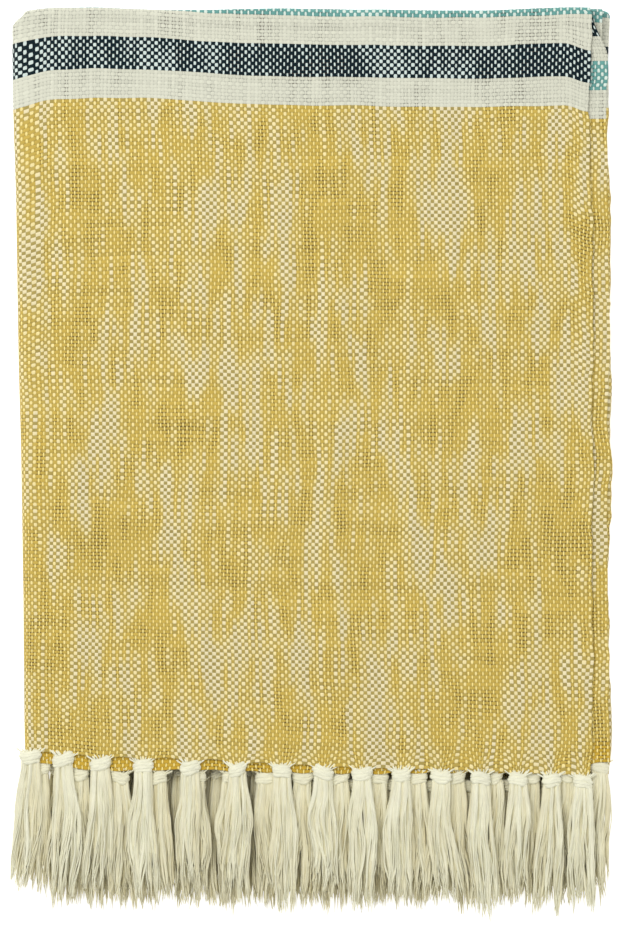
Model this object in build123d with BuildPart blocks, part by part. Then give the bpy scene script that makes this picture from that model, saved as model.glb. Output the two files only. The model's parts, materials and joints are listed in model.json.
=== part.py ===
"""A woven throw blanket with knotted fringe, folded in quarters each way.

The throw lies flat: +X to the right, +Y from the fringe to the folded end, +Z up. The origin is
at the middle of the underside. It is folded twice along its length, which makes a pack of four
layers, and the pack is folded twice across, which makes four packs:

    top_panel      right selvedge free, joined to bottom_panel by the outer left fold
    second_panel   right selvedge free, joined to third_panel by the inner left fold
    third_panel    joined to bottom_panel by the right fold
    bottom_panel   lies on the table
"""

import os
from math import pi, sin

from build123d import *

# The throw as it was woven, without its fringe
throw_width = 1300.0
throw_length = 1700.0
cloth = 1.2
layer_pitch = 1.6

# The folded stack
layers = 4
panels = 4
pack_gap = 0.4
folded_width = 332.4
hinge_gap = 0.2
end_b_overhang = 7.8
centre_fold_setback = 3.0
top_selvedge_inset = 11.8

# The fringe: eleven warp ends in each tassel
tassel_pitch = 22.03
knot_length = 6.4
knot_width = 11.0
knot_offset = 3.6
tail_length = 76.0
tail_variation = 6.0
fan_width = 14.0
edge_gap = 0.4
tail_neck = 6.0
tail_waist = 11.0
tail_tip = 13.5
tassel_thickness = 2.7
row_pitch = 3.1
hidden_tassels = 14
front_tassels = 15
under_tassels = 16

# Worked out from those
pack_thickness = (layers - 1) * layer_pitch + cloth
pack_pitch = pack_thickness + pack_gap
stack_height = (panels - 1) * pack_pitch + pack_thickness
half_width = folded_width / 2
outer_crest_radius = 1.5 * layer_pitch
inner_crest_radius = 0.5 * layer_pitch
crest_reach = outer_crest_radius + cloth / 2
outer_fold_radius = 1.5 * pack_pitch
inner_fold_radius = 0.5 * pack_pitch
fold_reach = outer_fold_radius + pack_thickness / 2
hinge_x = -half_width + fold_reach
hinge_z = stack_height / 2
right_fold_x = half_width - inner_fold_radius - pack_thickness / 2
right_fold_z = pack_pitch - pack_gap / 2

# The four layers of a pack and the three bends between them add up to the woven length. End B
# hangs out beyond end A by a little cloth, which is part of its tassels' solids here.
bends_along = pi * (outer_crest_radius + 2 * inner_crest_radius)
straights_along = throw_length - bends_along - end_b_overhang + 2 * centre_fold_setback
panel_length = straights_along / layers

# The longest tail reaches the near end of the box, and the folded end reaches the far one
longest_tail = tail_length + tail_variation
overall_length = crest_reach + panel_length + knot_offset + longest_tail
crest_y = overall_length / 2 - crest_reach
end_a_y = crest_y - panel_length
centre_fold_y = end_a_y + centre_fold_setback
front_knot_y = end_a_y - knot_offset
under_knot_y = front_knot_y - end_b_overhang
fold_tassel_x = -half_width + fan_width / 2

# The four panels and the three folds across add up to the woven width
top_right = half_width - top_selvedge_inset
bends_across = pi * (outer_fold_radius + 2 * inner_fold_radius)
second_right = (
    throw_width - bends_across - (top_right - hinge_x) - 2 * (right_fold_x - hinge_x)
) + hinge_x

os.makedirs("parts", exist_ok=True)


def save(part, name):
    """Labels a finished piece and writes it."""
    part.label = name
    export_step(part, f"parts/{name}.step")


def level(pack, layer, face_up):
    """Height of the middle of a layer: 0 to 3 from the middle of the throw to its end A."""
    step = layer if face_up else layers - 1 - layer
    return pack * pack_pitch + cloth / 2 + step * layer_pitch


def pack_profile(plane, pack, face_up):
    """Section of one pack, seen along X: end A, folded end, middle of the throw, back to end B."""
    mid_a, mid_b, end_b, end_a = (level(pack, n, face_up) for n in range(layers))
    turn = 1 if face_up else -1
    with BuildSketch(plane) as profile:
        with BuildLine():
            Line((end_a_y, end_a), (crest_y, end_a))
            ThreePointArc(
                (crest_y, end_a),
                (crest_y + outer_crest_radius, (end_a + mid_a) / 2),
                (crest_y, mid_a),
            )
            Line((crest_y, mid_a), (centre_fold_y, mid_a))
            ThreePointArc(
                (centre_fold_y, mid_a),
                (centre_fold_y - inner_crest_radius, mid_a + turn * inner_crest_radius),
                (centre_fold_y, mid_b),
            )
            Line((centre_fold_y, mid_b), (crest_y, mid_b))
            ThreePointArc(
                (crest_y, mid_b),
                (crest_y + inner_crest_radius, (mid_b + end_b) / 2),
                (crest_y, end_b),
            )
            Line((crest_y, end_b), (end_a_y, end_b))
        trace(line_width=cloth)
    return profile.sketch


def make_panel(name, pack, face_up, left, right):
    """One flat pack of four layers."""
    section = pack_profile(Plane.YZ.offset(left), pack, face_up)
    with BuildPart() as panel:
        add(section)
        extrude(amount=right - left, dir=(1, 0, 0))
    save(panel.part, name)


def make_fold(name, pack, face_up, axis_x, axis_z, turn):
    """Half a turn of a pack about a line along Y. The pack's section stands above the line."""
    section = pack_profile(Plane.YZ.offset(axis_x), pack, face_up)
    with BuildPart() as fold:
        add(section)
        revolve(axis=Axis((axis_x, 0, axis_z), (0, turn, 0)), revolution_arc=180)
    save(fold.part, name)


def tassel_plan(x, knot_y, z, tail):
    """Outline of warp ends gathered from the cloth's edge into a knot, and its widening tail."""
    edge_y = end_a_y - edge_gap
    neck_y = knot_y - knot_length / 2 + cloth
    waist_y = knot_y - tail / 2
    tip_y = knot_y - tail
    with BuildSketch(Plane.XY.offset(z - tassel_thickness / 2)) as plan:
        with Locations((x, knot_y)):
            Ellipse(knot_width / 2, knot_length / 2)
        with BuildLine():
            Polyline(
                (x - fan_width / 2, edge_y),
                (x - tail_neck / 2, knot_y),
                (x - tail_neck / 2, neck_y),
                (x - tail_waist / 2, waist_y),
                (x - tail_tip / 2, tip_y),
                (x + tail_tip / 2, tip_y),
                (x + tail_waist / 2, waist_y),
                (x + tail_neck / 2, neck_y),
                (x + tail_neck / 2, knot_y),
                (x + fan_width / 2, edge_y),
                close=True,
            )
        make_face()
    return plan.sketch


def make_tassels(name, tassels):
    """Tassels in one node, each a separate solid pressed flat by the stack."""
    with BuildPart() as fringe:
        for x, knot_y, row, tail in tassels:
            add(tassel_plan(x, knot_y, row_height(row), tail))
        extrude(amount=tassel_thickness)
    save(fringe.part, name)


def row_height(row):
    """Height of the middle of one of the eight fringe rows, evenly spread through the stack."""
    return tassel_thickness / 2 + row * row_pitch


def tail_of(index, phase):
    """Tails differ a little in length."""
    return tail_length + tail_variation * sin(2.4 * index + phase)


def front_tassel_x(index):
    """The front row: wider spaces left of the middle, narrower ones at both ends."""
    share = index / (front_tassels - 1)
    uneven = (
        0.024 * sin(pi * share)
        - 0.017 * sin(2 * pi * share)
        - 0.006 * sin(3 * pi * share)
        - 0.008 * sin(4 * pi * share)
    )
    first = fold_tassel_x
    last = top_right - 4.6
    return first + (last - first) * (share + uneven)


def under_tassel_x(index):
    """The second row, at end B, starts beside the first front knot and ends past the selvedge."""
    share = index / (under_tassels - 1)
    uneven = 0.010 * sin(pi * share) + 0.007 * sin(3 * pi * share)
    first = hinge_x - 1.0
    last = half_width - fan_width / 2
    return first + (last - first) * (share + uneven)


# Cloth
panel_left = hinge_x + hinge_gap
make_panel("bottom_panel", 0, False, panel_left, right_fold_x)
make_panel("third_panel", 1, True, panel_left, right_fold_x)
make_panel("second_panel", 2, False, panel_left, second_right)
make_panel("top_panel", 3, True, panel_left, top_right)
make_fold("right_fold", 1, True, right_fold_x, right_fold_z, 1)
make_fold("left_fold_inner", 2, False, hinge_x, hinge_z, -1)
make_fold("left_fold_outer", 3, True, hinge_x, hinge_z, -1)

# The two fringe rows of the top panel, one node for each tassel
for index in range(front_tassels):
    front = (front_tassel_x(index), front_knot_y, 7, tail_of(index, 0.4))
    make_tassels(f"front_tassel_{index + 1:02d}", [front])

for index in range(under_tassels):
    under = (under_tassel_x(index), under_knot_y, 6, tail_of(index, 2.0) - end_b_overhang)
    make_tassels(f"under_tassel_{index + 1:02d}", [under])

# The six hidden rows, one node for each row of alike tassels
hidden_rows = (
    ("bottom_panel_fringe_a", 0, front_knot_y, 22.0),
    ("bottom_panel_fringe_b", 1, under_knot_y, 14.0),
    ("third_panel_fringe_b", 2, under_knot_y, 20.0),
    ("third_panel_fringe_a", 3, front_knot_y, 9.0),
    ("second_panel_fringe_a", 4, front_knot_y, 12.0),
    ("second_panel_fringe_b", 5, under_knot_y, 20.5),
)
for name, row, knot_y, first_offset in hidden_rows:
    shorter = end_b_overhang if knot_y == under_knot_y else 0
    hidden = [
        (
            hinge_x + first_offset + index * tassel_pitch,
            knot_y,
            row,
            tail_of(index, row) - shorter,
        )
        for index in range(hidden_tassels)
    ]
    make_tassels(name, hidden)

# The two tassels, one of each end, on the low side of the outer left fold
left_fold_tassels = [
    (fold_tassel_x, front_knot_y, 0, tail_length - end_b_overhang),
    (fold_tassel_x, under_knot_y, 1, tail_length - 2 * end_b_overhang),
]
make_tassels("left_fold_fringe", left_fold_tassels)

print(f"stack {folded_width:.1f} x {overall_length:.1f} x {stack_height:.1f} mm")
print(f"panel length {panel_length:.1f}, second panel's selvedge at x {second_right:.1f}")
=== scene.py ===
"""The look of the folded throw: its woven cloth, folded in 16 layers, and its knotted fringe.

One sheet, 1.30 x 1.70 m, is laid along the folded path that the CAD panels give. It is drawn in
four lengths: two ride on the halves, and two lie round the fold by the hinge.
"""

import json
from math import pi

import bpy
import numpy as np
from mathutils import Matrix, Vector


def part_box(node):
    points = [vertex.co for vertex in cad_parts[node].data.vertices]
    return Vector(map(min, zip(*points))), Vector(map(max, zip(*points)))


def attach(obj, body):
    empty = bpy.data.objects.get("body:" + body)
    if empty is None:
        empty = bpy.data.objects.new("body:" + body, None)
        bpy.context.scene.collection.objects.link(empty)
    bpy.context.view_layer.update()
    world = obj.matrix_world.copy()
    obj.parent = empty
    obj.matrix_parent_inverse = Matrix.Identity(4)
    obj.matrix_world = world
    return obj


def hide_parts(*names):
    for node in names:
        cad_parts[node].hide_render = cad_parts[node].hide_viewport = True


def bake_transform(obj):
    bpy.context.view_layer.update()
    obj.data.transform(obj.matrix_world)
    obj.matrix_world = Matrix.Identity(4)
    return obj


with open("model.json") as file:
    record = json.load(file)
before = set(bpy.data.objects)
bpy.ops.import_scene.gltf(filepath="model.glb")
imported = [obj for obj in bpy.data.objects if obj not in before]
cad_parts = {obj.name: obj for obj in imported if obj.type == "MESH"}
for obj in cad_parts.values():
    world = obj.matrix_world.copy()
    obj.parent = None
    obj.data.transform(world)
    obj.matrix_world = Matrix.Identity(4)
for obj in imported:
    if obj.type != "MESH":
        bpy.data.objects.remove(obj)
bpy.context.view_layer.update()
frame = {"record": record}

MM = 0.001

# ---------------------------------------------------------------- sizes, from the frame

hinge_x, _, hinge_z = frame["record"]["behaviour"]["joints"][0]["pos_m"]
top_low, top_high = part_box("top_panel")
second_low, second_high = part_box("second_panel")
third_low, third_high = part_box("third_panel")
bottom_low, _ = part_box("bottom_panel")

LAYERS = 4
CLOTH = 1.2 * MM
SEEN_CLOTH = 1.0 * MM
pack_thickness = top_high[2] - top_low[2]
layer_pitch = (pack_thickness - CLOTH) / (LAYERS - 1)
pack_pitch = third_low[2] - bottom_low[2]
outer_crest = 1.5 * layer_pitch
inner_crest = 0.5 * layer_pitch
outer_fold = 1.5 * pack_pitch
inner_fold = 0.5 * pack_pitch
end_a_y = top_low[1]
crest_y = top_high[1] - outer_crest - CLOTH / 2
centre_fold_y = end_a_y + 3.0 * MM
END_B_OVERHANG = 7.8 * MM
end_b_y = end_a_y - END_B_OVERHANG
right_fold_x = third_high[0]
left_edge = hinge_x - outer_fold - pack_thickness / 2

WARP_PITCH = 2.0 * MM
WEFT_PITCH = 2.0 * MM
THROW_LENGTH = 1.70


# ---------------------------------------------------------------- numbers that vary smoothly

def smooth_noise(x, y, seed, size=64):
    """Smooth noise from -1 to 1, with features about one unit wide."""
    lattice = np.random.default_rng(seed).uniform(-1, 1, (size, size))
    x, y = np.broadcast_arrays(np.asarray(x, float), np.asarray(y, float))
    column, row = np.floor(x).astype(int), np.floor(y).astype(int)
    fx, fy = x - column, y - row
    fx, fy = fx * fx * (3 - 2 * fx), fy * fy * (3 - 2 * fy)
    near = lattice[column % size, row % size] * (1 - fx) + lattice[(column + 1) % size, row % size] * fx
    far = (
        lattice[column % size, (row + 1) % size] * (1 - fx)
        + lattice[(column + 1) % size, (row + 1) % size] * fx
    )
    return near * (1 - fy) + far * fy


def ease(t):
    """From 0 to 1, level at both ends."""
    t = np.clip(t, 0, 1)
    return t * t * (3 - 2 * t)


# ---------------------------------------------------------------- meshes

def mesh_object(name, points, faces, material, uv=None, normals=None, tone_and_shade=None, fibre=None):
    """An object from arrays. faces has four corners a row; the rest are by point."""
    mesh = bpy.data.meshes.new(name)
    points, faces = np.asarray(points, np.float32), np.asarray(faces, np.int32)
    mesh.vertices.add(len(points))
    mesh.vertices.foreach_set("co", points.ravel())
    mesh.loops.add(faces.size)
    mesh.loops.foreach_set("vertex_index", faces.ravel())
    mesh.polygons.add(len(faces))
    mesh.polygons.foreach_set("loop_start", np.arange(0, faces.size, 4, dtype=np.int32))
    mesh.update(calc_edges=True)
    mesh.validate()
    mesh.polygons.foreach_set("use_smooth", np.ones(len(mesh.polygons), bool))
    if uv is not None:
        layer = mesh.uv_layers.new(name="weave")
        layer.data.foreach_set("uv", np.asarray(uv, np.float32)[faces.ravel()].ravel())
    if tone_and_shade is not None:
        attribute = mesh.attributes.new("tone_and_shade", "FLOAT", "POINT")
        attribute.data.foreach_set("value", np.asarray(tone_and_shade, np.float32))
    if fibre is not None:
        attribute = mesh.attributes.new("fibre", "FLOAT_VECTOR", "POINT")
        attribute.data.foreach_set("vector", np.asarray(fibre, np.float32).ravel())
    if normals is not None:
        mesh.normals_split_custom_set_from_vertices(np.asarray(normals, np.float32))
    mesh.materials.append(material)
    piece = bpy.data.objects.new(name, mesh)
    bpy.context.scene.collection.objects.link(piece)
    return piece


def grid_faces(rows, columns, first=0, wrap=False):
    """Quads over a grid of points stored row by row. wrap joins the last column to the first."""
    across = columns if wrap else columns - 1
    row, column = np.meshgrid(np.arange(rows - 1), np.arange(across), indexing="ij")
    after = (column + 1) % columns
    corners = (
        row * columns + column,
        row * columns + after,
        (row + 1) * columns + after,
        (row + 1) * columns + column,
    )
    return first + np.stack(corners, -1).reshape(-1, 4)


def tubes(paths, radii, sides=6, capped=True, twist=0.0):
    """Round tubes along many paths at once. paths is (tubes, points, 3), radii (tubes, points).
    Gives points, faces, and for each point its place round and along its own tube."""
    paths, radii = np.asarray(paths, float), np.asarray(radii, float)
    count, length, _ = paths.shape
    tangent = np.gradient(paths, axis=1)
    tangent /= np.maximum(np.linalg.norm(tangent, axis=2, keepdims=True), 1e-9)
    across = np.zeros_like(paths)
    start = np.cross(tangent[:, 0], (0.31, 0.17, 0.94))
    across[:, 0] = start / np.maximum(np.linalg.norm(start, axis=1, keepdims=True), 1e-9)
    for i in range(1, length):
        kept = across[:, i - 1] - tangent[:, i] * np.sum(
            across[:, i - 1] * tangent[:, i], axis=1, keepdims=True
        )
        across[:, i] = kept / np.maximum(np.linalg.norm(kept, axis=1, keepdims=True), 1e-9)
    up = np.cross(tangent, across)
    if capped:
        radii = radii.copy()
        radii[:, 0] *= 0.35
        radii[:, -1] *= 0.35
    turn = np.arange(sides) * 2 * pi / sides
    ring = across[:, :, None] * np.cos(turn)[:, None] + up[:, :, None] * np.sin(turn)[:, None]
    points = paths[:, :, None] + ring * radii[:, :, None, None]
    one = grid_faces(length, sides, wrap=True)
    faces = one[None] + (np.arange(count) * length * sides)[:, None, None]
    steps = np.linalg.norm(np.diff(paths, axis=1), axis=2)
    gone = np.concatenate((np.zeros((count, 1)), np.cumsum(steps, axis=1)), axis=1)
    round_it = turn + twist * gone[:, :, None]
    fibre = np.stack((
        radii[:, :, None] * np.cos(round_it) + 0.1 * np.arange(count)[:, None, None],
        radii[:, :, None] * np.sin(round_it),
        np.broadcast_to(gone[:, :, None], round_it.shape),
    ), -1)
    return points.reshape(-1, 3), faces.reshape(-1, 4), fibre.reshape(-1, 3)


def joined(parts):
    """Several (points, faces, fibre, tone) as one."""
    points, faces, fibres, tones, first = [], [], [], [], 0
    for part_points, part_faces, part_fibre, part_tone in parts:
        points.append(part_points)
        faces.append(part_faces + first)
        fibres.append(part_fibre)
        tones.append(np.broadcast_to(part_tone, len(part_points)))
        first += len(part_points)
    return [np.concatenate(arrays) for arrays in (points, faces, fibres, tones)]


# ---------------------------------------------------------------- material nodes

class Graph:
    """Short names for the nodes of one material."""

    def __init__(self, name):
        self.material = bpy.data.materials.new(name)
        self.material.use_nodes = True
        self.tree = self.material.node_tree
        self.shader = self.tree.nodes["Principled BSDF"]

    def node(self, kind, **settings):
        made = self.tree.nodes.new(kind)
        for key, value in settings.items():
            setattr(made, key, value)
        return made

    def feed(self, socket, value):
        if isinstance(value, bpy.types.NodeSocket):
            self.tree.links.new(value, socket)
        else:
            socket.default_value = value

    def math(self, operation, *values):
        made = self.node("ShaderNodeMath", operation=operation)
        for socket, value in zip(made.inputs, values):
            self.feed(socket, value)
        return made.outputs[0]

    def add(self, a, b):
        return self.math("ADD", a, b)

    def times(self, a, b):
        return self.math("MULTIPLY", a, b)

    def less(self, a, b):
        return self.math("SUBTRACT", a, b)

    def scaled(self, value, low, high, to_low=0.0, to_high=1.0, smooth=False):
        made = self.node("ShaderNodeMapRange")
        if smooth:
            made.interpolation_type = "SMOOTHSTEP"
        for socket, number in zip(made.inputs, (value, low, high, to_low, to_high)):
            self.feed(socket, number)
        return made.outputs["Result"]

    def vector(self, x, y, z=0.0):
        made = self.node("ShaderNodeCombineXYZ")
        for socket, value in zip(made.inputs, (x, y, z)):
            self.feed(socket, value)
        return made.outputs[0]

    def noise(self, vector, scale=1.0, detail=1.0, roughness=0.5):
        made = self.node("ShaderNodeTexNoise")
        self.feed(made.inputs["Vector"], vector)
        self.feed(made.inputs["Scale"], scale)
        self.feed(made.inputs["Detail"], detail)
        self.feed(made.inputs["Roughness"], roughness)
        return made.outputs["Fac"]

    def random(self, vector):
        made = self.node("ShaderNodeTexWhiteNoise", noise_dimensions="3D")
        self.feed(made.inputs["Vector"], vector)
        return made.outputs["Value"]

    def mix(self, share, a, b):
        made = self.node("ShaderNodeMix", data_type="RGBA")
        for socket, value in ((made.inputs[0], share), (made.inputs[6], a), (made.inputs[7], b)):
            self.feed(socket, value)
        return made.outputs[2]

    def shaded(self, colour, value):
        """colour times a grey value."""
        made = self.node("ShaderNodeVectorMath", operation="SCALE")
        self.feed(made.inputs[0], colour)
        self.feed(made.inputs["Scale"], value)
        return made.outputs[0]

    def bump(self, height, distance, strength):
        made = self.node("ShaderNodeBump")
        self.feed(made.inputs["Height"], height)
        made.inputs["Distance"].default_value = distance
        made.inputs["Strength"].default_value = strength
        return made.outputs["Normal"]


def linear(red, green, blue):
    """A colour given as 0 to 255 screen values, as a shader takes it."""
    screen = np.array((red, green, blue)) / 255
    values = np.where(screen <= 0.04045, screen / 12.92, ((screen + 0.055) / 1.055) ** 2.4)
    return (*[float(v) for v in values], 1.0)


MUSTARD, MUSTARD_WARP = linear(196, 168, 80), linear(243, 224, 144)
MUSTARD_END = linear(196, 160, 56)
CREAM, CREAM_WARP = linear(208, 208, 190), linear(212, 212, 194)
NAVY, NAVY_WARP = linear(12, 30, 36), linear(204, 217, 211)
TEAL, TEAL_WARP = linear(102, 156, 149), linear(212, 226, 215)
# The second of these, a darker greyer olive, is painted shade for the weft round the slubs
SLUB, OLIVE_SHADE = linear(228, 217, 183), linear(172, 160, 104)
# Painted shade: the dark brown of the holes between the yarns, where the cloth below lies in shade
HOLE_SHADE = linear(66, 40, 2)

# The bands, by their distance in mm from end A and from end B: where each one starts, the
# colour of its weft, and how the warp looks in it
BANDS_A = (
    (360.0, MUSTARD, MUSTARD_WARP), (370.2, CREAM, CREAM_WARP), (386.2, NAVY, NAVY_WARP),
    (404.2, CREAM, CREAM_WARP), (419.5, TEAL, TEAL_WARP), (434.0, CREAM, CREAM_WARP),
    (448.2, MUSTARD, MUSTARD_WARP),
)
BANDS_B = (
    (360.0, MUSTARD, MUSTARD_WARP), (370.2, CREAM, CREAM_WARP), (386.1, TEAL, TEAL_WARP),
    (402.2, CREAM, CREAM_WARP), (416.3, NAVY, NAVY_WARP), (434.2, CREAM, CREAM_WARP),
    (450.2, MUSTARD, MUSTARD_WARP),
)
BANDS_START, BANDS_END = 360.0, 460.0
FIELD_EDGE, HALF_BANDS = 410 * MM, 40 * MM


def banded(g, from_end, bands, which):
    """The colour of a band, at a distance from an end of the throw."""
    ramp = g.node("ShaderNodeValToRGB")
    ramp.color_ramp.interpolation = "CONSTANT"
    elements = ramp.color_ramp.elements
    elements.remove(elements[1])
    elements[0].position, elements[0].color = 0.0, bands[0][which]
    for band in bands[1:]:
        elements.new((band[0] - BANDS_START) / (BANDS_END - BANDS_START)).color = band[which]
    g.feed(ramp.inputs[0], g.scaled(from_end, BANDS_START * MM, BANDS_END * MM))
    return ramp.outputs["Color"]


def woven_cloth():
    """Plain weave: each warp end passes over one weft pick and under the next. The yarns are
    slubby, so each has its own thickness along its length, and where both are thin the hole
    between them is painted dark: painted shade of the cloth below."""
    g = Graph("woven_cotton")
    place = g.node("ShaderNodeSeparateXYZ")
    g.feed(place.inputs[0], g.node("ShaderNodeUVMap", uv_map="weave").outputs[0])
    u, v = place.outputs[0], place.outputs[1]

    # The yarns wander a little
    wander_u = g.noise(g.vector(g.times(u, 55.0), g.times(v, 28.0), 3.0), detail=1.0)
    wander_v = g.noise(g.vector(g.times(u, 30.0), g.times(v, 60.0), 7.0), detail=1.0)
    u = g.add(u, g.times(g.less(wander_u, 0.5), 2.2 * MM))
    v = g.add(v, g.times(g.less(wander_v, 0.5), 1.8 * MM))
    a, b = g.math("DIVIDE", u, WARP_PITCH), g.math("DIVIDE", v, WEFT_PITCH)
    end, pick = g.math("FLOOR", a), g.math("FLOOR", b)
    da = g.less(g.math("FRACT", a), 0.5)
    db = g.less(g.math("FRACT", b), 0.5)

    # 1 where the warp is on top, -1 where the weft is
    side = g.math("FLOORED_MODULO", g.add(end, pick), 2.0)
    over = g.less(g.times(side, 2.0), 1.0)

    # Thickness of each yarn along its length. Slubs are long, and neighbours swell together
    patches = g.noise(g.vector(g.times(u, 72.0), g.times(v, 20.0), 1.0), detail=2.0, roughness=0.6)
    own_warp = g.noise(g.vector(g.times(end, 7.31), g.times(v, 30.0), 5.0), detail=1.5)
    broad = g.noise(g.vector(g.times(u, 30.0), g.times(v, 12.0), 17.0), detail=1.0)
    swollen = g.add(g.times(patches, 0.62), g.times(broad, 0.55))
    warp = g.add(swollen, g.times(own_warp, 0.82))
    slub = g.scaled(warp, 0.90, 1.17, smooth=True)
    pick_v = g.times(g.add(pick, 0.5), WEFT_PITCH)
    from_b = g.less(THROW_LENGTH, pick_v)
    nearest = g.math("MINIMUM", pick_v, from_b)
    is_field = g.math("GREATER_THAN", g.math("ABSOLUTE", g.less(nearest, FIELD_EDGE)), HALF_BANDS)
    slub = g.times(slub, g.scaled(is_field, 0.0, 1.0, 0.6, 1.0))
    slub = g.times(slub, g.scaled(from_b, 9 * MM, 20 * MM))
    # A slub bulges where it floats over a pick, and narrows where it dives
    floating = g.times(over, g.math("COSINE", g.times(db, pi)))
    warp_half = g.times(
        g.scaled(slub, 0.0, 1.0, 0.21, 0.66), g.scaled(floating, -1.0, 1.0, 0.62, 1.08)
    )
    own_weft = g.noise(g.vector(g.times(u, 24.0), g.times(pick, 5.77), 9.0), detail=1.0)
    loose = g.noise(g.vector(g.times(u, 110.0), g.times(v, 45.0), 13.0), detail=1.0)
    openness = g.times(
        g.scaled(warp, 0.85, 1.01, 1.0, 0.0, smooth=True), g.scaled(loose, 0.40, 0.62, smooth=True)
    )
    openness = g.times(openness, g.scaled(is_field, 0.0, 1.0, 0.75, 1.0))
    weft_half = g.less(g.scaled(own_weft, 0.3, 0.7, 0.50, 0.58), g.times(openness, 0.13))

    def yarn_height(sign, along, across, half):
        """Height of a yarn's surface: its path over and under, and its round section."""
        path = g.times(g.times(over, sign), g.math("COSINE", g.times(along, pi)))
        share = g.math("DIVIDE", across, half)
        inside = g.math("MAXIMUM", g.less(1.0, g.times(share, share)), 0.0)
        crown = g.times(g.math("SQRT", inside), half)
        return g.add(g.times(path, 0.34), crown), inside

    warp_height, warp_inside = yarn_height(1.0, db, da, warp_half)
    weft_height, weft_inside = yarn_height(-1.0, da, db, weft_half)
    warp_height = g.add(warp_height, g.scaled(slub, 0.0, 1.0, 0.17, 0.06))
    # A yarn that isn't there lies far down
    warp_height = g.less(warp_height, g.scaled(warp_inside, 0.0, 0.10, 1.0, 0.0))
    weft_height = g.less(weft_height, g.scaled(weft_inside, 0.0, 0.10, 1.0, 0.0))
    height = g.math("MAXIMUM", warp_height, weft_height)
    warp_shows = g.scaled(g.less(warp_height, weft_height), -0.10, 0.10)

    # Colours: each yarn a little different, with painted shade that darkens the cloth down between the
    # yarns and painted light that brightens their crowns a little
    weft_tone = g.add(
        g.scaled(g.random(g.vector(pick, 2.0)), 0.0, 1.0, 0.95, 1.05),
        g.times(g.less(own_weft, 0.5), 0.25),
    )
    warp_tone = g.add(
        g.scaled(g.random(g.vector(end, 4.0)), 0.0, 1.0, 0.94, 1.03),
        g.times(g.less(own_warp, 0.5), 0.15),
    )
    nearer_b = g.math("GREATER_THAN", pick_v, THROW_LENGTH / 2)
    weft_paint = g.mix(nearer_b, banded(g, pick_v, BANDS_A, 1), banded(g, from_b, BANDS_B, 1))
    warp_paint = g.mix(nearer_b, banded(g, pick_v, BANDS_A, 2), banded(g, from_b, BANDS_B, 2))
    warp_paint = g.mix(g.times(g.times(slub, 0.85), is_field), warp_paint, SLUB)
    weft_paint = g.mix(g.scaled(from_b, 9 * MM, 15 * MM, 1.0, 0.0), weft_paint, MUSTARD_END)
    # Round the slubs the weft is painted a darker, greyer olive: painted shade where it lies down between
    # the swollen warp
    weft_paint = g.mix(g.times(g.times(slub, 0.60), is_field), weft_paint, OLIVE_SHADE)
    paint = g.mix(
        warp_shows, g.shaded(weft_paint, weft_tone), g.shaded(warp_paint, warp_tone)
    )
    fibres = g.noise(g.vector(g.times(u, 1500.0), g.times(v, 1500.0)), detail=1.0)
    # Painted shade and light by height: the low parts between the yarns are darker, the crowns a little
    # lighter
    depth = g.scaled(height, -0.12, 0.58, 0.58, 1.04, smooth=True)
    depth = g.times(depth, g.scaled(fibres, 0.25, 0.75, 0.95, 1.04))
    # Painted shade: the weft that shows between slubs is darkened, so that the slubs look round and raised
    shade_between_slubs = g.times(g.times(slub, is_field), g.less(1.0, warp_shows))
    depth = g.times(depth, g.scaled(shade_between_slubs, 0.0, 1.0, 1.0, 0.80))
    paint = g.shaded(paint, depth)
    # Holes where both yarns are thin are painted dark brown: painted shade of the cloth below, not a colour
    # of the yarns
    hole_shade_mask = g.scaled(height, -0.50, -0.10, 0.85, 0.0)
    paint = g.mix(hole_shade_mask, paint, HOLE_SHADE)

    g.feed(g.shader.inputs["Base Color"], paint)
    g.shader.inputs["Roughness"].default_value = 0.92
    g.shader.inputs["Specular IOR Level"].default_value = 0.10
    g.shader.inputs["Sheen Weight"].default_value = 0.05
    g.shader.inputs["Sheen Roughness"].default_value = 0.6
    relief = g.add(g.times(height, 0.8), g.times(fibres, 0.06))
    g.feed(g.shader.inputs["Normal"], g.bump(relief, 0.7 * MM, 0.8))
    return g.material


def fringe_yarn(name, colour, shade):
    """Soft loosely twisted cotton. The per-point value from the mesh is each strand's own tone at random
    together with painted shade: where it is low, more of the shade colour is mixed in.
    """
    g = Graph(name)
    tone_and_shade = g.node("ShaderNodeAttribute", attribute_name="tone_and_shade").outputs["Fac"]
    fibre_place = g.node("ShaderNodeAttribute", attribute_name="fibre").outputs["Vector"]
    stretched = g.node("ShaderNodeVectorMath", operation="MULTIPLY")
    g.feed(stretched.inputs[0], fibre_place)
    stretched.inputs[1].default_value = (1900.0, 1900.0, 110.0)
    fibre = g.noise(stretched.outputs[0], detail=2.0, roughness=0.6)
    blotch = g.noise(g.node("ShaderNodeTexCoord").outputs["Object"], scale=110.0, detail=2.0)
    paint = g.mix(g.scaled(tone_and_shade, 0.3, 1.0), shade, colour)
    value = g.times(g.scaled(blotch, 0.3, 0.7, 0.95, 1.03), g.scaled(fibre, 0.3, 0.7, 0.90, 1.04))
    g.feed(g.shader.inputs["Base Color"], g.shaded(paint, value))
    g.shader.inputs["Roughness"].default_value = 0.9
    g.shader.inputs["Specular IOR Level"].default_value = 0.2
    g.shader.inputs["Sheen Weight"].default_value = 0.15
    g.shader.inputs["Sheen Roughness"].default_value = 0.5
    g.feed(g.shader.inputs["Normal"], g.bump(fibre, 0.5 * MM, 0.7))
    return g.material


cloth_material = woven_cloth()
# The second colour is the yarn's painted shade, a khaki, mixed in where the yarn lies low
yarn_material = fringe_yarn("cotton_yarn", linear(242, 240, 214), linear(212, 195, 134))


# ---------------------------------------------------------------- the folded path

def arc(centre, radius, start, end, steps):
    """Points round an arc, without its first, as (first, second) coordinates and the angle."""
    angle = np.radians(np.linspace(start, end, steps + 1)[1:])
    return centre[0] + radius * np.cos(angle), centre[1] + radius * np.sin(angle), angle


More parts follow.
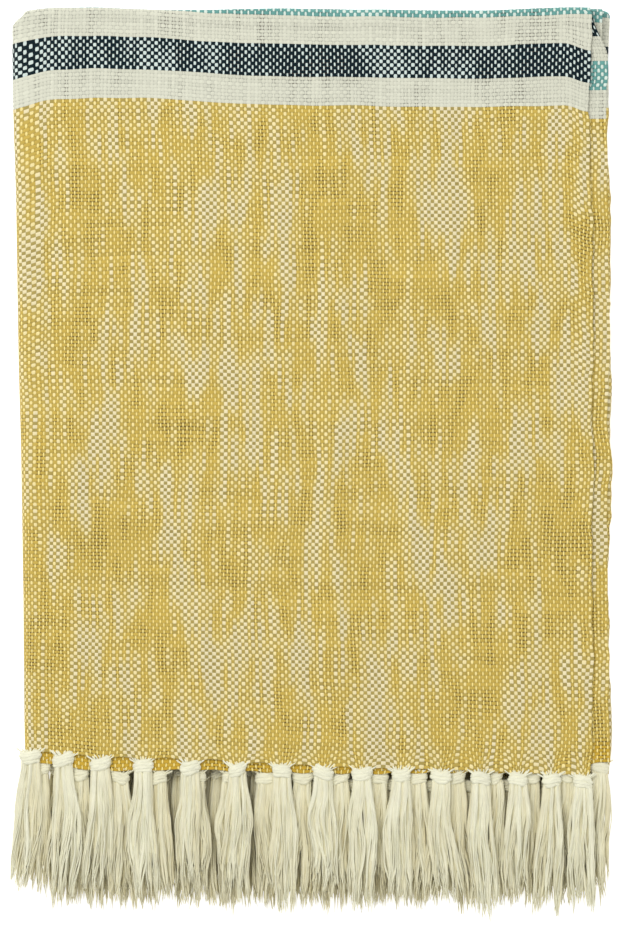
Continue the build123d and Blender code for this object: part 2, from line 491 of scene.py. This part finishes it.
class Path:
    """A folded line in a plane: places, outward normals and distance along it."""

    def __init__(self, start, normal):
        self.first, self.second = [start[0]], [start[1]]
        self.normal = [normal]
        self.part = [0]
        self.parts = 0

    def straight(self, to, step):
        count = max(int(round(abs(to - self.first[-1]) / step)), 1)
        for place in np.linspace(self.first[-1], to, count + 1)[1:]:
            self.first.append(place)
            self.second.append(self.second[-1])
            self.normal.append(self.normal[-1])
            self.part.append(self.parts)
        self.parts += 1

    def turn(self, radius, start, end, steps, facing):
        """Half a turn. facing is 1 where the cloth's face is outside, -1 where it is inside."""
        angle = np.radians(start)
        centre = (
            self.first[-1] - radius * np.cos(angle),
            self.second[-1] - radius * np.sin(angle),
        )
        for a, b, angle in zip(*arc(centre, radius, start, end, steps)):
            self.first.append(a)
            self.second.append(b)
            self.normal.append((facing * np.cos(angle), facing * np.sin(angle)))
            self.part.append(self.parts)
        self.parts += 1

    def finish(self):
        self.first, self.second = np.array(self.first), np.array(self.second)
        self.normal, self.part = np.array(self.normal), np.array(self.part)
        steps = np.hypot(np.diff(self.first), np.diff(self.second))
        self.along = np.concatenate(([0.0], np.cumsum(steps)))
        return self


def across_path():
    """The middle of the pack across the throw, from the top panel's selvedge, in X and Z."""
    path = Path((top_high[0], (top_low[2] + top_high[2]) / 2), (0.0, 1.0))
    path.straight(hinge_x, 1.6 * MM)
    path.turn(outer_fold, 90, 270, 22, 1)
    path.straight(right_fold_x, 6 * MM)
    path.turn(inner_fold, -90, 90, 12, 1)
    path.straight(hinge_x, 6 * MM)
    path.turn(inner_fold, 270, 90, 14, -1)
    path.straight(second_high[0], 6 * MM)
    return path.finish()


def along_path():
    """The four layers along the throw, from end A, in Y and in height above the pack's middle."""
    path = Path((end_a_y, 1.5 * layer_pitch), (0.0, 1.0))
    path.straight(crest_y, 2.0 * MM)
    path.turn(outer_crest, 90, -90, 14, 1)
    path.straight(centre_fold_y, 6 * MM)
    path.turn(inner_crest, 270, 90, 8, 1)
    path.straight(crest_y, 6 * MM)
    path.turn(inner_crest, -90, 90, 8, -1)
    path.straight(end_b_y, 3.0 * MM)
    return path.finish()


across, along = across_path(), along_path()
TOP, OUTER_FOLD, BOTTOM, RIGHT_FOLD, THIRD, INNER_FOLD, SECOND = range(7)
END_A, OUTER_CREST, MID_A, CENTRE_FOLD, MID_B, INNER_CREST, END_B = range(7)


# ---------------------------------------------------------------- where the tassels are

def tassel_places(prefix, count):
    """Where each tassel's knot is: the middle of its CAD solid, and how long its tail is."""
    places = []
    for index in range(count):
        low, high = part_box(f"{prefix}_{index + 1:02d}")
        places.append(((low[0] + high[0]) / 2, (low[2] + high[2]) / 2, low[1]))
    return places


FRONT_COUNT, UNDER_COUNT = 15, 16
KNOT_OFFSET = 3.6 * MM
FLOOR_CLEARANCE = 0.05 * MM
front_places = tassel_places("front_tassel", FRONT_COUNT)
under_places = tassel_places("under_tassel", UNDER_COUNT)


# How the two visible rows lie against a straight row: the lift at the left, the fall to the
# right, and what a corner adds, as its place along the row, its lift and its reach
FRONT_ROW = {"lift": 6.0 * MM, "fall": 10.9 * MM, "corners": ((0.0, 2.9 * MM, 0.09),)}
UNDER_ROW = {"lift": 5.0 * MM, "fall": 0.0, "corners": ((0.0, 4.9 * MM, 0.07), (1.0, 6.2 * MM, 0.05))}


def knot_rise(x, row, places):
    """How far an end of the throw is drawn up, across its width."""
    first, last = places[0][0], places[-1][0]
    share = np.clip((x - first) / (last - first), 0, 1)
    rise = row["lift"] - row["fall"] * share
    for at, lift, reach in row["corners"]:
        rise = rise + lift * np.exp(-(((share - at) / reach) ** 2))
    return rise


def drawn_in(x, y, is_end_b):
    """How far the rows are drawn towards the middle: from each end of the throw up to half-way,
    and just under the crest beside the fold."""
    rise = np.where(
        is_end_b, knot_rise(x, UNDER_ROW, under_places), knot_rise(x, FRONT_ROW, front_places)
    )
    from_left = np.maximum(x - left_edge, 0)
    rows = (2.0 + 3.6 * ease((crest_y - y) / (26 * MM))) * MM
    top = rows * np.exp(-((from_left / (13 * MM)) ** 2)) * ease(y / (0.5 * crest_y))
    return rise * ease(-y / -end_a_y) - top


def gathered(x, y, edge_y, places, reach, pull):
    """How far warp ends lean towards the nearest knot, near an end of the throw."""
    knots = np.array([place[0] for place in places])
    middles = np.concatenate(([2 * knots[0] - knots[1]], knots, [2 * knots[-1] - knots[-2]]))
    phase = np.interp(x, middles, np.arange(len(middles)))
    near = ease(1 - (y - edge_y) / reach)
    return -pull * np.sin(2 * pi * phase) * near, np.cos(2 * pi * phase) * near


# ---------------------------------------------------------------- the cloth

SELVEDGE_SLIP = 9.5 * MM
CORNER_PULL = 2.2 * MM
FOLD_LEAN = 0.0165


def cloth_points(offset):
    """Points of one face of the whole folded cloth, (columns, rows, 3). offset is from the
    cloth's middle towards its face."""
    ax, az = across.first[:, None], across.second[:, None]
    nx, nz = across.normal[:, 0][:, None], across.normal[:, 1][:, None]
    column, row = across.part[:, None], along.part[None, :]
    y = along.first[None, :] + along.normal[:, 0][None, :] * offset
    height = along.second[None, :] + along.normal[:, 1][None, :] * offset
    x = ax + nx * height
    z = az + nz * height
    y = np.broadcast_to(y, x.shape).copy()

    # The layers under the top one slip out past its selvedge
    slip = np.select([row == END_B, row == MID_B, row == MID_A], [1.0, 0.55, 0.35], 0.0)
    crest_share = ease((crest_y - y) / (60 * MM))
    below_crest = ease((crest_y - y) / (26 * MM))
    slip = np.broadcast_to(slip, x.shape) * np.where(row == END_B, below_crest, crest_share)
    x = x + np.where(column == TOP, slip * SELVEDGE_SLIP * ease((x - hinge_x) / (top_high[0] - hinge_x)), 0)

    # The fold's corners pull in, and so do the rows that run round it
    round_fold = np.where(column == OUTER_FOLD, np.cos((az - hinge_z) / outer_fold * pi / 2), 0)
    y = y + drawn_in(x, y, row == END_B)
    at_right = ease((x - (top_high[0] - 15 * MM)) / (15 * MM)) * ease(y / (0.4 * crest_y))
    top_layer = (column == TOP) & (row == END_A)
    y = y - np.where(top_layer, 4.0 * MM * at_right * ease((crest_y - y) / (16 * MM)), 0)
    corner = ease((left_edge + 9 * MM - x) / (9 * MM)) * ease((y - (crest_y - 7 * MM)) / (7 * MM))
    x = x + corner * CORNER_PULL * (1 + round_fold)
    # The big fold lies a little further out towards the crest than towards the fringe
    x = x - FOLD_LEAN * y * ease((hinge_x - x) / (12 * MM))

    # Rows wave a little, selvedges too, and the whole lies softly
    y = (
        y + 1.3 * MM * smooth_noise(x / 0.075, y / 0.14, 11)
        + 0.35 * MM * smooth_noise(x / 0.02, y / 0.05, 12)
    )
    x = x + 0.9 * MM * smooth_noise(x / 0.15, y / 0.07, 13)
    edge = ease((x - (top_high[0] - 12 * MM)) / (12 * MM))
    x = x + edge * (
        0.9 * MM * smooth_noise(y / 0.022, row + 10 * column, 14)
        + 0.5 * MM * smooth_noise(y / 0.006, row + 7 * column, 15)
    )
    lean, scallop = gathered(x, y, end_a_y, front_places, 11 * MM, 1.5 * MM)
    front = (column == TOP) & (row == END_A)
    x = x + np.where(front, lean, 0)
    y = y - np.where(front, scallop * 1.3 * MM, 0)
    lean, scallop = gathered(x, y, end_b_y, under_places, 9 * MM, 1.3 * MM)
    under = (column == TOP) & (row == END_B)
    x = x + np.where(under, lean, 0)
    y = y - np.where(under, scallop * 1.0 * MM, 0)
    lift = (
        0.9 * smooth_noise(x / 0.075, y / 0.10, 16)
        + 0.35 * smooth_noise(x / 0.028, y / 0.035, 17)
        + 0.16 * smooth_noise(x / 0.010, y / 0.013, 18)
    )
    settle = z / (2 * hinge_z)
    return np.stack((x, y, z + lift * MM * settle), -1)


def grid_normals(points):
    """Normals of a grid of points, as if its face looked out along the path's normals."""
    du = np.gradient(points, axis=0)
    dv = np.gradient(points, axis=1)
    normals = np.cross(dv, du)
    return normals / np.maximum(np.linalg.norm(normals, axis=2, keepdims=True), 1e-12)


front_face, back_face = cloth_points(SEEN_CLOTH / 2), cloth_points(-SEEN_CLOTH / 2)
front_normal = grid_normals(front_face)
back_normal = -grid_normals(back_face)
weave_u = np.broadcast_to(across.along[:, None], front_face.shape[:2])
# Towards the left the rows lie a little nearer the crest than they do at the right
cloth_v = along.along[None, :] / along.along[-1] * THROW_LENGTH
skew = 4.2 * MM * ease((-20 * MM - across.first[:, None]) / (75 * MM))
crest_v = along.along[along.part == OUTER_CREST][0]
weave_v = cloth_v - skew * np.exp(-(((cloth_v - crest_v) / (130 * MM)) ** 2))


def cloth_length(first_part, last_part):
    """The stretch of cloth between two parts of the path across, as one closed shell."""
    columns = np.flatnonzero((across.part >= first_part) & (across.part <= last_part))
    low = columns[0] - (1 if first_part > 0 else 0)
    high = columns[-1] + 1
    front, back = front_face[low:high], back_face[low:high]
    columns, rows = front.shape[:2]
    count = columns * rows
    faces_front = grid_faces(columns, rows)
    faces_back = faces_front[:, ::-1] + count
    index = np.arange(count).reshape(columns, rows)
    rim_faces = [
        np.stack((rim[:-1] + count, rim[1:] + count, rim[1:], rim[:-1]), -1)
        for rim in (index[:, 0], index[::-1, -1], index[0, ::-1], index[-1, :])
    ]
    faces = np.concatenate([faces_front, faces_back, *rim_faces])
    uv = np.stack((weave_u[low:high].ravel(), weave_v[low:high].ravel()), -1)
    both_normals = (front_normal[low:high].reshape(-1, 3), back_normal[low:high].reshape(-1, 3))
    points = np.concatenate((front.reshape(-1, 3), back.reshape(-1, 3)))
    return points, faces, np.concatenate((uv, uv)), np.concatenate(both_normals)


def cloth_piece(name, *stretches):
    """One object of one or more stretches, each from its first part of the path to its last."""
    points, faces, uv, normals, first = [], [], [], [], 0
    for first_part, last_part in stretches:
        own_points, own_faces, own_uv, own_normals = cloth_length(first_part, last_part)
        points.append(own_points)
        faces.append(own_faces + first)
        uv.append(own_uv)
        normals.append(own_normals)
        first += len(own_points)
    return mesh_object(
        name, np.concatenate(points), np.concatenate(faces), cloth_material,
        uv=np.concatenate(uv), normals=np.concatenate(normals),
    )


upper_cloth = cloth_piece("throw_cloth_upper", (TOP, TOP), (SECOND, SECOND))
lower_cloth = cloth_piece("throw_cloth_lower", (BOTTOM, THIRD))
outer_cloth = cloth_piece("throw_cloth_outer_fold", (OUTER_FOLD, OUTER_FOLD))
inner_cloth = cloth_piece("throw_cloth_inner_fold", (INNER_FOLD, INNER_FOLD))


# ---------------------------------------------------------------- fringe

def bundle(centre, width, depth, sides):
    """A closed flattened bundle along a centre line. centre is (points, 3), going down -Y."""
    turn = np.arange(sides) * 2 * pi / sides
    ring = np.zeros((len(centre), sides, 3))
    ring[..., 0] = centre[:, None, 0] + width[:, None] * np.cos(turn)
    ring[..., 1] = centre[:, None, 1]
    ring[..., 2] = centre[:, None, 2] + depth[:, None] * np.sin(turn)
    fibre = np.stack((ring[..., 0], ring[..., 2], -ring[..., 1]), -1)
    return ring.reshape(-1, 3), grid_faces(len(centre), sides, wrap=True), fibre.reshape(-1, 3)


def tassel(rng, x, knot_y, z, tip_y, edge_y, cloth_z, strands, tip_z, painted_light, fine=True, lean=None):
    """Eleven warp ends gathered into a knot, and their loose strands below it."""
    parts = []
    ends = 11
    sides = 6 if fine else 4

    # Warp ends from the cloth's edge into the knot
    rank = np.arange(ends) - (ends - 1) / 2
    t = np.linspace(0, 1, 8 if fine else 4)[None, :]
    start_x = x + (rank[:, None] + rng.uniform(-0.25, 0.25, (ends, 1))) * 1.55 * MM
    end_x = x + rank[:, None] * 0.75 * MM
    fan_x = start_x + (end_x - start_x) * ease(t) + 0.35 * MM * rng.normal(size=(ends, 1)) * np.sin(pi * t)
    fan_y = edge_y + rng.uniform(0.2, 2.2, (ends, 1)) * MM
    fan_y = fan_y + (knot_y + 1.0 * MM - fan_y) * t ** 1.3
    hump = 0.5 * MM * rng.uniform(0, 1, (ends, 1)) * np.sin(pi * t)
    fan_z = cloth_z + (z + 0.6 * MM - cloth_z) * ease(t) + hump
    thin = np.broadcast_to(rng.uniform(0.34, 0.52, (ends, 1)) * MM, fan_x.shape)
    parts.append((*tubes(np.stack((fan_x, fan_y, fan_z), -1), thin, sides), painted_light))

    # The knot: soft yarns wrapped round the bundle, over a full middle
    width, slant = rng.uniform(4.8, 6.4) * MM, rng.uniform(-1.4, 1.4) * MM
    lobe = rng.uniform(-0.5, 0.5)
    wraps = 4
    angle = np.linspace(0, 2 * pi, 25 if fine else 13)[None, :]
    level = np.linspace(-1, 1, wraps)[:, None] + rng.uniform(-0.12, 0.12, (wraps, 1))
    round_off = np.sqrt(np.maximum(1 - (0.8 * level) ** 2, 0.1))
    half_width = width * (0.66 + 0.34 * round_off) * rng.uniform(0.92, 1.06, (wraps, 1)) - 0.9 * MM
    half_depth = 1.3 * MM * (0.55 + 0.45 * round_off)
    knot_x = x + half_width * np.cos(angle) * (1 + 0.12 * lobe * np.sin(angle))
    knot_ys = (
        knot_y + level * 2.2 * MM + slant * np.cos(angle)
        + 0.7 * MM * np.sin(2 * angle + rng.uniform(0, 6)) * rng.uniform(0.2, 1, (wraps, 1))
    )
    knot_zs = z + half_depth * np.sin(angle)
    swell = 1 + 0.12 * np.sin(3 * angle + rng.uniform(0, 6, (wraps, 1)))
    wrapped = tubes(
        np.stack((knot_x, knot_ys, knot_zs), -1), 1.45 * MM * swell, 8 if fine else 4,
        capped=False, twist=500.0,
    )
    # The wraps are painted a little lighter and the full middle under them a little darker: painted light
    # and painted shade
    parts.append((*wrapped, painted_light * 1.02))
    middle = np.stack((np.full(7, x), knot_y + np.linspace(3.4, -3.4, 7) * MM, np.full(7, z)), -1)
    full = np.sqrt(1 - np.linspace(-0.98, 0.98, 7) ** 2)
    parts.append((*bundle(middle, width * 0.92 * full, 2.1 * MM * full, 12), painted_light * 0.94))

    # The tail: thick soft yarns that part and sway, and loose strands over them and past them
    steps = 24 if fine else 12
    s = np.linspace(0, 1, steps)[None, :]
    side = np.linspace(-1, 1, ends)[:, None]
    tuft = np.sort(rng.choice(np.arange(1, ends), 4, replace=False))
    group = np.searchsorted(tuft, np.arange(ends), side="right")
    meeting = np.array([side[group == k].mean() for k in group])[:, None]
    full_length = knot_y - tip_y
    tuft_length = full_length * rng.uniform(0.85, 1.0, ends)[group][:, None]
    yarn_length = tuft_length * rng.uniform(0.97, 1.0, (ends, 1))
    lean = rng.normal() * 2.0 * MM if lean is None else lean
    sway = rng.uniform(0.5, 1.7) * MM * np.sin(rng.uniform(0, 6) + s * rng.uniform(3, 5)) * ease(s * 2)
    middle_width, tip_width = rng.uniform(6.2, 8.4) * MM, rng.uniform(7.0, 10.2) * MM
    spread = (
        4.7 * MM + (middle_width - 4.7 * MM) * ease(s * 2.2)
        + (tip_width - middle_width) * ease(1.3 * s - 0.3)
    )
    turn_of = rng.uniform(0, 2 * pi, (ends, 1))
    pace = rng.uniform(4, 13, (ends, 1))
    swing = rng.uniform(0.3, 1.0, (ends, 1)) * MM
    yarn_x = (
        x + (side + (meeting - side) * 0.75 * ease(2 * s - 1)) * spread * 0.84 + lean * s * s + sway
        + swing * np.sin(turn_of + pace * s) * ease(s * 3)
    )
    layer = rng.uniform(-1, 1, (ends, 1))
    yarn_z = (
        z + (tip_z - z) * ease(s) + layer * (1.3 - 0.4 * np.abs(side)) * MM * (0.6 + 0.4 * s)
        + 0.4 * MM * np.sin(2 * turn_of + 6 * s) * ease(s * 2)
    )
    yarn_y = knot_y - 1.2 * MM - (0.93 * yarn_length - 1.2 * MM) * s
    thick = 1.25 * MM * rng.uniform(0.85, 1.15, (ends, 1))
    girth = thick * (0.95 + 0.15 * np.sin(turn_of + 9 * s)) * np.sqrt(np.maximum(1 - s ** 5, 0.02))
    yarn_z = np.maximum(yarn_z, girth + FLOOR_CLEARANCE)
    body = tubes(np.stack((yarn_x, yarn_y, yarn_z), -1), girth, 8 if fine else 5, twist=90.0)
    # Each yarn's own tone at random, and darker for the yarns lying lower in the tail: painted shade
    tone_and_shade = painted_light * (0.86 + 0.10 * layer[:, 0] + rng.uniform(-0.06, 0.05, ends))
    parts.append((*body, np.repeat(tone_and_shade, len(body[0]) // ends)))

    yarn = np.arange(strands) % ends
    own = rng.uniform(0, 2 * pi, (strands, 1))
    about = own + rng.uniform(1.5, 4.0, (strands, 1)) * s
    away = thick[yarn] * (0.8 + 0.4 * s + 0.5 * rng.uniform(0, 1, (strands, 1)) * s ** 2)
    away = away * (1 - 0.8 * ease((s - 0.78) / 0.22))
    length = np.minimum(yarn_length[yarn] * rng.uniform(0.94, 1.05, (strands, 1)), full_length)
    strand_x = (
        yarn_x[yarn] + away * np.cos(about)
        + 0.25 * MM * np.sin(own + s * rng.uniform(12, 26, (strands, 1))) * ease(s * 2)
        + rng.normal(size=(strands, 1)) * 0.5 * MM * s ** 4
    )
    strand_y = knot_y - 1.2 * MM - (length - 1.2 * MM) * s
    strand_z = yarn_z[yarn] + away * np.sin(about)
    radius = (0.36 if fine else 0.55) * MM * (1 - 0.4 * s ** 3) * rng.uniform(0.7, 1.2, (strands, 1))
    strand_z = np.maximum(strand_z, radius + FLOOR_CLEARANCE)
    loose = tubes(np.stack((strand_x, strand_y, strand_z), -1), radius, 5 if fine else 4)
    # Each strand's own tone at random, and darker round the lower yarns: painted shade
    tone_and_shade = painted_light * (0.92 + 0.09 * layer[yarn, 0] + rng.uniform(-0.10, 0.08, strands))
    parts.append((*loose, np.repeat(tone_and_shade, len(loose[0]) // strands)))
    return parts


def tassel_object(name, parts):
    """A tassel, or a row of them, resting on the floor where it would dip below."""
    points, faces, fibre, tone_and_shade = joined(parts)
    points[:, 2] = np.maximum(points[:, 2], FLOOR_CLEARANCE)
    return mesh_object(name, points, faces, yarn_material, tone_and_shade=tone_and_shade, fibre=fibre)


def layer_z(pack_low, step):
    """The height of a layer in a pack, counted up from the lowest."""
    return pack_low[2] + CLOTH / 2 + step * layer_pitch


def fringe_piece(name, parts, body, node):
    """The visible yarn that stands for one fringe node of the CAD."""
    piece = tassel_object(name, parts)
    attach(piece, body)
    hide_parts(node)
    return piece


def seen_row(prefix, places, edge_y, is_end_b, cloth_z, knot_lift, strands, tip_share, painted_light):
    """One of the two rows in sight, a piece for each tassel."""
    pieces = []
    for index, (x, z, tip) in enumerate(places):
        drawn = drawn_in(x, edge_y, is_end_b)
        parts = tassel(
            rng, x, edge_y - KNOT_OFFSET + drawn, z + knot_lift, tip + drawn, edge_y + drawn,
            cloth_z, strands, z * tip_share, painted_light,
            lean=CORNER_LEAN if index == 0 and not is_end_b else None,
        )
        name = f"{prefix}_yarn_{index + 1:02d}"
        pieces.append(fringe_piece(name, parts, "upper_half", f"{prefix}_{index + 1:02d}"))
    return pieces


def hidden_row(node, count, edge_y, cloth_z, body):
    """One of the rows inside the stack, with fewer and thicker strands."""
    low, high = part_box(node)
    z = (low[2] + high[2]) / 2
    first, last = low[0] + 7 * MM, high[0] - 7 * MM
    parts = []
    for x in np.linspace(first, last, count):
        tip = low[1] + rng.uniform(0, 7) * MM
        # These rows inside the stack are painted darker than the rows in sight (0.85): painted shade
        parts += tassel(
            rng, x, edge_y - KNOT_OFFSET, z, tip, edge_y, cloth_z, 22, z * 0.78, 0.85, fine=False
        )
    return fringe_piece(f"{node}_yarn", parts, body, node)


rng = np.random.default_rng(2026)
CORNER_LEAN = -6 * MM
HIDDEN_COUNT = 14
fringe_upper = [
    *seen_row(
        "front_tassel", front_places, end_a_y, False, layer_z(top_low, 3), 1.1 * MM, 55, 0.82, 1.0
    ),
    # The under row is painted a little darker than the front row (0.88): painted shade below the top layer
    *seen_row(
        "under_tassel", under_places, end_b_y, True, layer_z(top_low, 2), 0.8 * MM, 44, 0.8, 0.88
    ),
    hidden_row("second_panel_fringe_a", HIDDEN_COUNT, end_a_y, layer_z(second_low, 0), "upper_half"),
    hidden_row("second_panel_fringe_b", HIDDEN_COUNT, end_b_y, layer_z(second_low, 1), "upper_half"),
]
fringe_lower = [
    hidden_row("third_panel_fringe_a", HIDDEN_COUNT, end_a_y, layer_z(third_low, 3), "lower_half"),
    hidden_row("third_panel_fringe_b", HIDDEN_COUNT, end_b_y, layer_z(third_low, 2), "lower_half"),
    hidden_row("bottom_panel_fringe_a", HIDDEN_COUNT, end_a_y, layer_z(bottom_low, 0), "lower_half"),
    hidden_row("bottom_panel_fringe_b", HIDDEN_COUNT, end_b_y, layer_z(bottom_low, 1), "lower_half"),
    hidden_row("left_fold_fringe", 1, end_a_y, layer_z(bottom_low, 1), "lower_half"),
]


# ---------------------------------------------------------------- what moves with what

for piece, body, nodes in (
    (upper_cloth, "upper_half", ("top_panel", "second_panel")),
    (lower_cloth, "lower_half", ("bottom_panel", "third_panel", "right_fold")),
):
    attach(piece, body)
    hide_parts(*nodes)
# The lengths round the fold keep their place, and their CAD parts are hidden
for piece, node, reach in (
    (outer_cloth, "left_fold_outer", outer_fold + pack_thickness / 2),
    (inner_cloth, "left_fold_inner", inner_fold + pack_thickness / 2),
):
    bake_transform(piece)
    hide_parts(node)


# ---------------------------------------------------------------- floor, light and camera

def stage():
    """A plain pale floor, which glows a little so that no shadow greys it."""
    g = Graph("pale_floor")
    grain = g.noise(g.node("ShaderNodeTexCoord").outputs["Object"], scale=3.0, detail=2.0)
    g.feed(g.shader.inputs["Base Color"], g.mix(grain, (0.88, 0.88, 0.88, 1), (0.90, 0.90, 0.90, 1)))
    g.shader.inputs["Emission Color"].default_value = (1.0, 1.0, 1.0, 1)
    g.shader.inputs["Emission Strength"].default_value = 0.55
    g.shader.inputs["Roughness"].default_value = 0.9
    g.shader.inputs["Specular IOR Level"].default_value = 0.1
    size = 4.0
    points = [(-size, -size, 0), (size, -size, 0), (size, size, 0), (-size, size, 0)]
    floor = mesh_object("floor", points, [(0, 1, 2, 3)], g.material)
    floor.location.z = -0.2 * MM


def area_light(name, place, size, power):
    """A square light that shines at the origin."""
    data = bpy.data.lights.new(name, "AREA")
    data.shape = "SQUARE"
    data.size = size
    data.energy = power
    lamp = bpy.data.objects.new(name, data)
    lamp.location = place
    lamp.rotation_euler = (-Vector(place)).to_track_quat("-Z", "Y").to_euler()
    bpy.context.scene.collection.objects.link(lamp)


stage()
area_light("key_light", (-0.9, 1.0, 1.9), 1.3, 30)
area_light("fill_light", (1.2, -0.7, 2.0), 2.0, 11)
world = bpy.data.worlds.new("soft_room")
world.use_nodes = True
world.node_tree.nodes["Background"].inputs["Color"].default_value = (1.0, 1.0, 1.0, 1)
world.node_tree.nodes["Background"].inputs["Strength"].default_value = 0.55
bpy.context.scene.world = world
bpy.context.scene.view_settings.view_transform = "Standard"

CAMERA_HEIGHT = 2.0
SEEN_LENGTH = 522.0 * MM
camera_data = bpy.data.cameras.new("camera")
camera_data.sensor_fit = "VERTICAL"
camera_data.sensor_height = 36.0
camera_data.lens = 36.0 * (CAMERA_HEIGHT - 2 * hinge_z) / SEEN_LENGTH
camera = bpy.data.objects.new("camera", camera_data)
camera.location = (-2.0 * MM, -1.5 * MM, CAMERA_HEIGHT)
bpy.context.scene.collection.objects.link(camera)
bpy.context.scene.camera = camera
